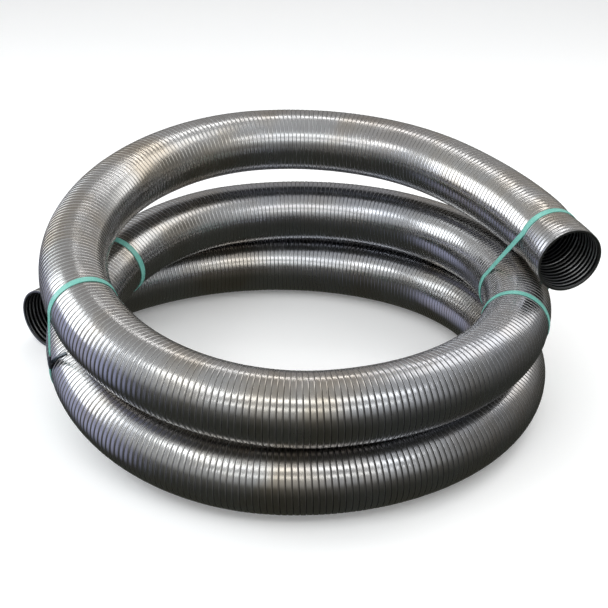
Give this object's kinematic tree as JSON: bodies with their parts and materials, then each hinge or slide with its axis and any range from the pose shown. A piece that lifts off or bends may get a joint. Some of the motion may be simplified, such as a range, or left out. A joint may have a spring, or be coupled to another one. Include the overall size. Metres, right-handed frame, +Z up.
{
  "type": "coiled sewer hose",
  "caption": "Coiled strip-wound metal hose with bare open ends, tied with flat plastic straps for storage; fits a caravan's sewer outlet.",
  "frame": {"origin": "on the ground, at the middle of the whole object's length and depth", "axes": "+Z up along the coil's axis, +X along the object's length to the side where the high end is, +Y to the back"},
  "size_m": [0.7317, 0.6276, 0.2753],
  "materials": {
    "hose_steel": "strip-wound bare steel, satin, slightly tarnished",
    "strap_plastic": "embossed polypropylene strapping, teal green",
    "seal_steel": "dark crimped steel"
  },
  "bodies": {
    "coil": {"lower_turn_1": "hose_steel", "lower_turn_2": "hose_steel", "lower_turn_3": "hose_steel", "lower_turn_4": "hose_steel", "lower_turn_5": "hose_steel", "lower_turn_6": "hose_steel", "lower_turn_7": "hose_steel", "middle_turn_1": "hose_steel", "middle_turn_2": "hose_steel", "middle_turn_3": "hose_steel", "middle_turn_4": "hose_steel", "middle_turn_5": "hose_steel", "middle_turn_6": "hose_steel", "middle_turn_7": "hose_steel", "middle_turn_8": "hose_steel", "top_turn_1": "hose_steel", "top_turn_2": "hose_steel", "top_turn_3": "hose_steel", "top_turn_4": "hose_steel", "strap_left_front": "strap_plastic", "strap_left_back": "strap_plastic", "strap_right_front": "strap_plastic", "strap_right_back": "strap_plastic", "seal_left_front": "seal_steel", "seal_left_back": "seal_steel", "seal_right_front": "seal_steel", "seal_right_back": "seal_steel"},
    "low_end_ring_1": {"low_end_ring_1": "hose_steel"},
    "low_end_ring_2": {"low_end_ring_2": "hose_steel"},
    "low_end_ring_3": {"low_end_ring_3": "hose_steel"},
    "low_end_mouth": {"low_end_mouth": "hose_steel"},
    "high_end_ring_1": {"high_end_ring_1": "hose_steel"},
    "high_end_ring_2": {"high_end_ring_2": "hose_steel"},
    "high_end_ring_3": {"high_end_ring_3": "hose_steel"},
    "high_end_mouth": {"high_end_mouth": "hose_steel"}
  },
  "joints": [
    {"name": "low_swing_1", "type": "hinge", "parent": "coil", "child": "low_end_ring_1", "pos_m": [-0.30491, 0.12922, 0.0424], "axis": [0, 0, 1], "range_deg": [-4, 4]},
    {"name": "low_lift_1", "type": "hinge", "parent": "low_end_ring_1", "child": "low_end_ring_2", "pos_m": [-0.30993, 0.12261, 0.0424], "axis": [-0.7968, 0.6042, 0], "range_deg": [0, 4]},
    {"name": "low_swing_2", "type": "hinge", "parent": "low_end_ring_2", "child": "low_end_ring_3", "pos_m": [-0.31494, 0.116, 0.0424], "axis": [0, 0, 1], "range_deg": [-4, 4]},
    {"name": "low_lift_2", "type": "hinge", "parent": "low_end_ring_3", "child": "low_end_mouth", "pos_m": [-0.31996, 0.10938, 0.0424], "axis": [-0.7968, 0.6042, 0], "range_deg": [0, 4]},
    {"name": "high_swing_1", "type": "hinge", "parent": "coil", "child": "high_end_ring_1", "pos_m": [0.31288, -0.01092, 0.20274], "axis": [0.0311, -0.0978, 0.9947], "range_deg": [-4, 4]},
    {"name": "high_lift_1", "type": "hinge", "parent": "high_end_ring_1", "child": "high_end_ring_2", "pos_m": [0.31538, -0.01879, 0.20189], "axis": [-0.953, -0.3029, 0], "range_deg": [-4, 4]},
    {"name": "high_swing_2", "type": "hinge", "parent": "high_end_ring_2", "child": "high_end_ring_3", "pos_m": [0.31788, -0.02666, 0.20103], "axis": [0.0311, -0.0978, 0.9947], "range_deg": [-4, 4]},
    {"name": "high_lift_2", "type": "hinge", "parent": "high_end_ring_3", "child": "high_end_mouth", "pos_m": [0.32038, -0.03453, 0.20018], "axis": [-0.953, -0.3029, 0], "range_deg": [-4, 4]}
  ],
  "couplings": [
    {"joint": "low_swing_2", "follows": "low_swing_1", "ratio": 1},
    {"joint": "low_lift_2", "follows": "low_lift_1", "ratio": 1},
    {"joint": "high_swing_2", "follows": "high_swing_1", "ratio": 1},
    {"joint": "high_lift_2", "follows": "high_lift_1", "ratio": 1}
  ]
}
